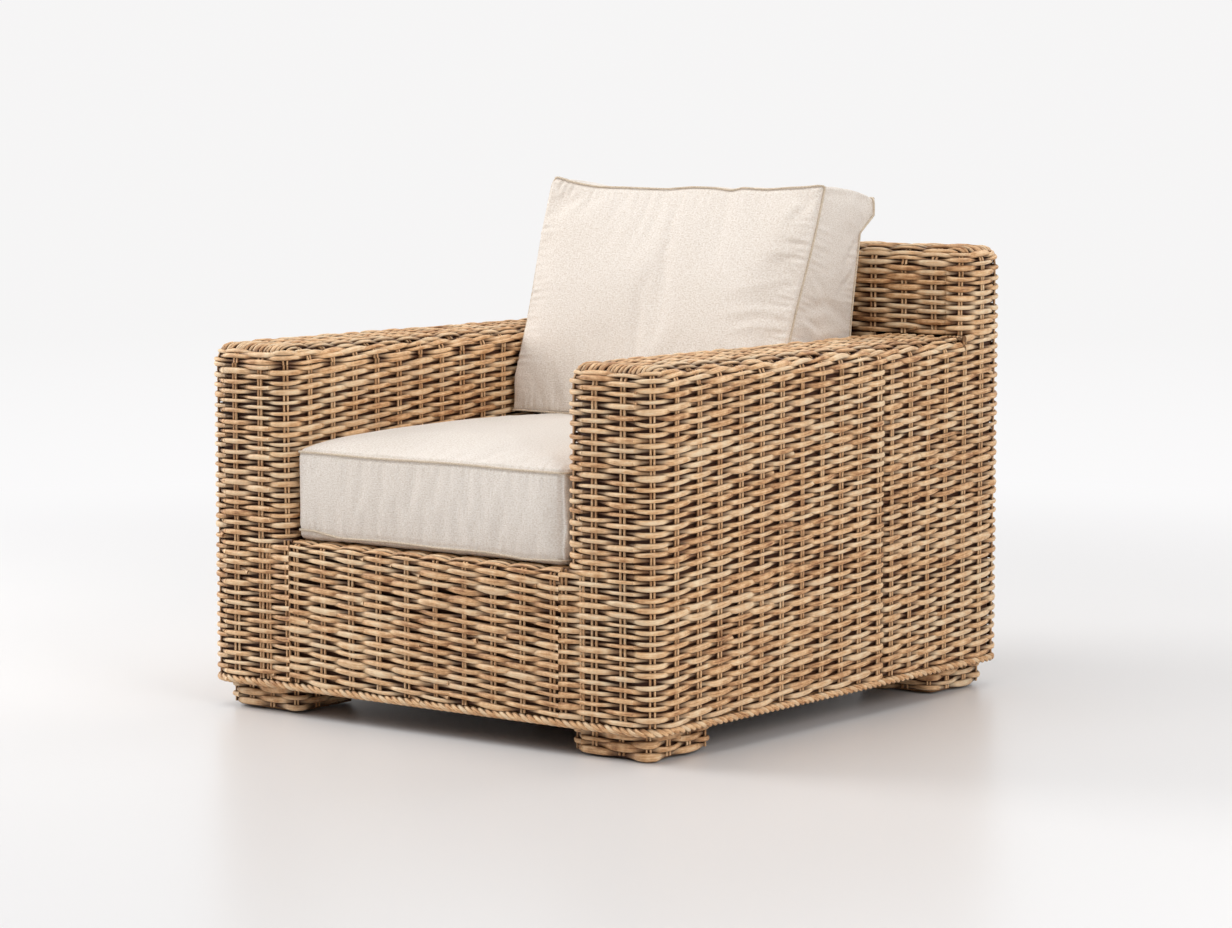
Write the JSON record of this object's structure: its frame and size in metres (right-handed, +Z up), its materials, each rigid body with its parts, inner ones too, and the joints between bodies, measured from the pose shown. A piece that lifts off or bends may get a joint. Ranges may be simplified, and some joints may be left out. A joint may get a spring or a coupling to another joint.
{
  "type": "woven rattan club armchair",
  "caption": "Square woven rattan club armchair on short block feet, with a loose boxed seat cushion and a leaning boxed back cushion that lift off.",
  "frame": {"origin": "on the floor, under the centre of the chair's footprint", "axes": "+X to the right as seen from in front, the front faces -Y, +Z up"},
  "size_m": [0.9, 0.966, 0.8396],
  "materials": {
    "rattan_weave": "natural unpeeled rattan, matt with a slight sheen",
    "rattan_rope": "twisted natural rattan, matt",
    "hardwood": "sawn hardwood, unfinished",
    "linen": "cream linen-look weave",
    "foam": "open-cell foam",
    "fibre_filling": "hollow fibre in a plain case",
    "zip_tape": "woven tape",
    "zip_metal": "antique brass",
    "glide_nylon": "moulded, matt",
    "steel": "zinc plated"
  },
  "bodies": {
    "root": {"front_post_outer_left": "hardwood", "front_post_outer_right": "hardwood", "front_post_inner_left": "hardwood", "front_post_inner_right": "hardwood", "rear_post_left": "hardwood", "rear_post_right": "hardwood", "back_post_left": "hardwood", "back_post_right": "hardwood", "arm_rail_outer_left": "hardwood", "arm_rail_outer_right": "hardwood", "arm_rail_inner_left": "hardwood", "arm_rail_inner_right": "hardwood", "arm_bearers": "hardwood", "back_top_rail_front": "hardwood", "back_top_rail_rear": "hardwood", "back_bearers": "hardwood", "seat_rail_front": "hardwood", "seat_rail_rear": "hardwood", "seat_rail_left": "hardwood", "seat_rail_right": "hardwood", "base_board_front": "hardwood", "base_board_rear": "hardwood", "base_board_left": "hardwood", "base_board_right": "hardwood", "seat_slats": "hardwood", "frame_screws": "steel", "foot_blocks": "hardwood", "foot_glides": "glide_nylon", "foot_wrap_front_left": "rattan_weave", "foot_wrap_front_right": "rattan_weave", "foot_wrap_rear_left": "rattan_weave", "foot_wrap_rear_right": "rattan_weave", "arm_side_weave_left": "rattan_weave", "arm_side_weave_right": "rattan_weave", "arm_inner_weave_left": "rattan_weave", "arm_inner_weave_right": "rattan_weave", "arm_front_weave_left": "rattan_weave", "arm_front_weave_right": "rattan_weave", "arm_top_weave_left": "rattan_weave", "arm_top_weave_right": "rattan_weave", "rear_side_weave_left": "rattan_weave", "rear_side_weave_right": "rattan_weave", "back_inner_weave": "rattan_weave", "back_outer_weave": "rattan_weave", "back_top_weave": "rattan_weave", "apron_weave": "rattan_weave", "rope_border_front": "rattan_rope", "rope_border_right": "rattan_rope", "rope_border_rear": "rattan_rope", "rope_border_left": "rattan_rope"},
    "seat_cushion": {"seat_cushion_cover": "linen", "seat_cushion_core": "foam", "seat_zip_tape": "zip_tape"},
    "seat_zip": {"seat_zip_slider": "zip_metal"},
    "seat_pull": {"seat_zip_pull": "zip_metal"},
    "back_cushion": {"back_cushion_cover": "linen", "back_cushion_core": "fibre_filling", "back_zip_tape": "zip_tape"},
    "back_zip": {"back_zip_slider": "zip_metal"},
    "back_pull": {"back_zip_pull": "zip_metal"}
  },
  "joints": [
    {"name": "seat_cushion_lift", "type": "slide", "parent": "root", "child": "seat_cushion", "axis": [0, 0, 1], "range_m": [0, 0.4]},
    {"name": "back_cushion_lift", "type": "slide", "parent": "seat_cushion", "child": "back_cushion", "axis": [0, 0, 1], "range_m": [0, 0.45]},
    {"name": "seat_zip_slide", "type": "slide", "parent": "seat_cushion", "child": "seat_zip", "axis": [-1, 0, 0], "range_m": [0, 0.46]},
    {"name": "seat_pull_swing", "type": "hinge", "parent": "seat_zip", "child": "seat_pull", "pos_m": [0.231, 0.3431, 0.3488], "axis": [1, 0, 0], "range_deg": [0, 28]},
    {"name": "back_zip_slide", "type": "slide", "parent": "back_cushion", "child": "back_zip", "axis": [-1, 0, 0], "range_m": [0, 0.48]},
    {"name": "back_pull_swing", "type": "hinge", "parent": "back_zip", "child": "back_pull", "pos_m": [0.241, 0.3651, 0.78966], "axis": [1, 0, 0], "range_deg": [0, 175]}
  ]
}
